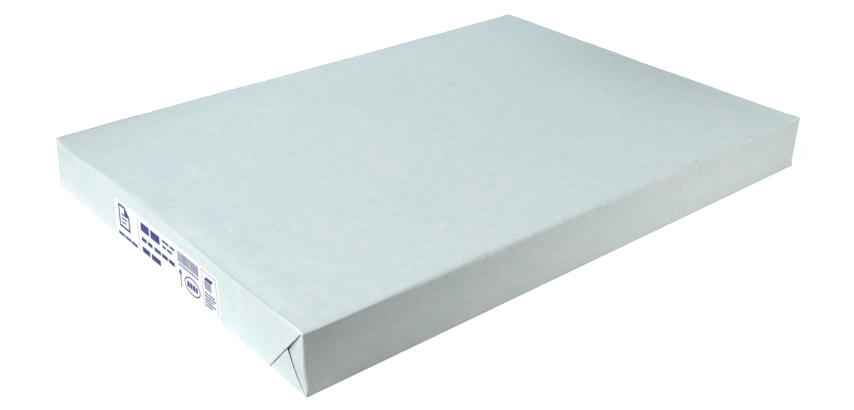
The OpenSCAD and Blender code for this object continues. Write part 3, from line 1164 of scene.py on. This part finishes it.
class REAM_OT_code(Operator):
    """Prints the stripes, the small figures under them, the arrow and the oval"""

    bl_idname = "ream.code"
    bl_label = "Stripes, arrow and oval"

    def execute(self, context):
        code = navy_print()
        code.marks(STRIPES)
        code.marks(FIGURES)
        middle, foot, width, height, head_half, head_foot, tip = mm(20.6, -12.8, 1.2, 9.6, 2.2, -3.4, 0.6)
        code.box(middle - width / 2, foot, width, height)
        code.outline([(middle - head_half, head_foot), (middle + head_half, head_foot), (middle, tip)])
        code.ring(*mm(35.0, -6.4, 10.0, 6.2, 1.0))
        code.marks(OVAL_ROW)
        stick_print(code, "label_code")
        return {"FINISHED"}


class REAM_OT_frame(Operator):
    """Prints the grey rule and the framed pile of sheets at the label's right"""

    bl_idname = "ream.frame"
    bl_label = "Rule and frame"

    def execute(self, context):
        finish = settings()[2]
        grey = Print(ink_material("Grey ink", finish.grey, finish.thin_ink))
        grey.box(*mm(-35.6, -13.2, 0.6, 26.4))
        grey.frame(*mm(48.5, -13.6, 17.5, 27, 0.5))
        stick_print(grey, "label_rules")
        pile = navy_print()
        left, foot, width, lean, pitch, thickness, top_height = mm(51.2, 1.2, 8.4, 3.2, 1.5, 0.9, 2.8)
        sheets = 4
        for sheet in range(sheets):
            pile.box(left, foot + pitch * sheet, width, thickness)
        low = foot + pitch * sheets
        high = low + top_height
        pile.outline([(left, low), (left + width, low), (left + width + lean, high), (left + lean, high)])
        for row in PILE_ROWS:
            pile.marks(row)
        stick_print(pile, "label_pile")
        return {"FINISHED"}


class REAM_OT_stage(Operator):
    """Sets up the camera, the lamps and the plain floor"""

    bl_idname = "ream.stage"
    bl_label = "Studio"

    def execute(self, context):
        studio = settings()[3]
        make_camera(studio)
        make_lamps(studio)
        make_floor(studio)
        make_sky(studio)
        context.scene.view_settings.view_transform = "Standard"
        return {"FINISHED"}


def make_camera(studio):
    """The camera at the photograph's angle"""
    azimuth, elevation, roll = studio.azimuth, studio.elevation, studio.roll
    level = math.cos(elevation)
    back = Vector((math.sin(azimuth) * level, -math.cos(azimuth) * level, math.sin(elevation)))
    right = Vector((0, 0, 1)).cross(back).normalized()
    up = back.cross(right)
    turned_right = right * math.cos(roll) + up * math.sin(roll)
    turned_up = up * math.cos(roll) - right * math.sin(roll)
    lens = bpy.data.cameras.new("camera")
    lens.lens = studio.lens
    camera = link("camera", lens)
    turn = Matrix((turned_right, turned_up, back)).transposed().to_4x4()
    camera.matrix_world = Matrix.Translation(studio.camera_place) @ turn
    bpy.context.scene.camera = camera


def make_lamps(studio):
    """A big soft lamp over the labelled end, one behind and a low one beside the long side"""
    middle = (0.0, 0.0, 0.0)
    # Name, place, the point that it faces, size, power and colour
    lamps = (
        ("window", (-2.2, 0.10, 1.75), middle, 0.9, studio.window_power, studio.window_colour),
        ("back", (0.5, 1.2, 0.9), middle, 0.9, studio.back_power, studio.back_colour),
        ("low", (0.12, -0.605, 0.1), (0.22, -0.16, 0.02), 0.12, studio.low_power, studio.low_colour),
    )
    for name, place, target, size, power, colour in lamps:
        light = bpy.data.lights.new(name, "AREA")
        light.size, light.energy, light.color = size, power, colour
        lamp = link(name, light)
        lamp.location = place
        lamp.rotation_euler = (Vector(target) - Vector(place)).to_track_quat("-Z", "Y").to_euler()


def choose_seen(tree, plain, seen, output):
    """One shader for what lights the scene, another for what the camera or a gloss sees"""
    path = put(tree, "ShaderNodeLightPath").outputs
    mirrored = compute(tree, "MAXIMUM", path["Is Glossy Ray"], path["Is Transmission Ray"])
    direct = compute(tree, "MAXIMUM", path["Is Camera Ray"], mirrored)
    choice = put(tree, "ShaderNodeMixShader", {0: direct, 1: plain.outputs[0], 2: seen.outputs[0]})
    put(tree, output, {"Surface": choice.outputs[0]})


def make_floor(studio):
    """A pale floor, white to the camera where no shadow falls"""
    half, level = studio.floor_half, -0.02 * MM
    mesh = bpy.data.meshes.new("floor")
    corners = [(x, y, level) for x, y in box_corners(-half, -half, 2 * half, 2 * half)]
    mesh.from_pydata(corners, [], [(0, 1, 2, 3)])
    floor = link("floor", mesh)
    material = bpy.data.materials.new("Studio floor")
    material.use_nodes = True
    tree = material.node_tree
    tree.nodes.clear()
    plain = put(tree, "ShaderNodeBsdfDiffuse", {"Color": tuple(studio.floor_colour)})
    seen = put(tree, "ShaderNodeBsdfDiffuse", {"Color": tuple(studio.floor_seen)})
    glow = put(tree, "ShaderNodeEmission", {"Color": WHITE, "Strength": studio.floor_glow})
    white = put(tree, "ShaderNodeAddShader", {0: seen.outputs[0], 1: glow.outputs[0]})
    choose_seen(tree, plain, white, "ShaderNodeOutputMaterial")
    floor.data.materials.append(material)


def make_sky(studio):
    """Plain light from all round, white where the camera or a gloss sees it"""
    world = bpy.data.worlds.new("sky")
    bpy.context.scene.world = world
    world.use_nodes = True
    tree = world.node_tree
    tree.nodes.clear()
    light = put(tree, "ShaderNodeBackground", {"Color": (*studio.sky_colour, 1.0), "Strength": studio.sky})
    seen = put(tree, "ShaderNodeBackground", {"Color": WHITE, "Strength": 1.0})
    choose_seen(tree, light, seen, "ShaderNodeOutputWorld")


class REAM_PT_panel(Panel):
    """Lists the steps that dress the ream"""

    bl_idname = "REAM_PT_panel"
    bl_label = "Ream of paper"
    bl_space_type = "VIEW_3D"
    bl_region_type = "UI"
    bl_category = "Ream"

    def draw(self, context):
        for step in STEPS:
            self.layout.operator(step.bl_idname)
        for group in settings():
            box = self.layout.box()
            for key in group.bl_rna.properties.keys():
                if key not in ("rna_type", "name"):
                    box.prop(group, key)


STEPS = (REAM_OT_wrapper, REAM_OT_label, REAM_OT_sign, REAM_OT_words, REAM_OT_code, REAM_OT_frame,
         REAM_OT_stage)
GROUPS = {"ream_wrapper": WrapperSizes, "ream_label": LabelSizes, "ream_finish": PaperFinish,
          "ream_studio": StudioSetup}


def register():
    """Registers the classes and hangs the property groups on the scene"""
    for kind in (*GROUPS.values(), *STEPS, REAM_PT_panel):
        bpy.utils.register_class(kind)
    for key, kind in GROUPS.items():
        setattr(bpy.types.Scene, key, PointerProperty(type=kind))


def unregister():
    """Takes the property groups and classes away again"""
    for key in GROUPS:
        delattr(bpy.types.Scene, key)
    for kind in reversed((*GROUPS.values(), *STEPS, REAM_PT_panel)):
        bpy.utils.unregister_class(kind)


def main():
    """Runs every step"""
    register()
    for step in STEPS:
        group, name = step.bl_idname.split(".")
        getattr(getattr(bpy.ops, group), name)()


if __name__ == "__main__":
    main()
